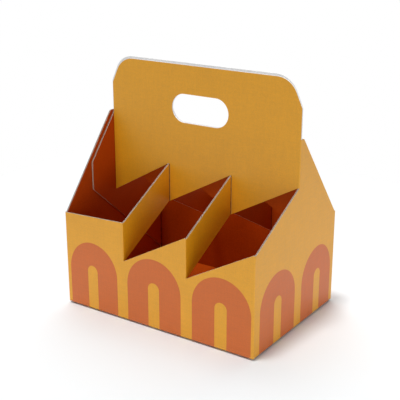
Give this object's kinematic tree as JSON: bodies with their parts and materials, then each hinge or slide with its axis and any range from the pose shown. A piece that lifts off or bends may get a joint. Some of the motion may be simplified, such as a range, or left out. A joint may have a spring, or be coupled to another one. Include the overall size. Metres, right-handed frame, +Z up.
{
  "type": "cup carrier",
  "caption": "Folded corrugated board cup carrier: open cells parted by slanting straps, gabled end walls and a tall middle handle panel with a hand hole.",
  "frame": {"origin": "middle of the underside, where the carrier stands", "axes": "+X along the front wall to the right, -Y out of the front wall, +Z up to the handle"},
  "size_m": [0.27, 0.191, 0.3005],
  "materials": {
    "printed_board": "corrugated board, golden yellow print outside, orange red inside, satin"
  },
  "bodies": {
    "root": {"carrier": "printed_board"}
  },
  "joints": []
}
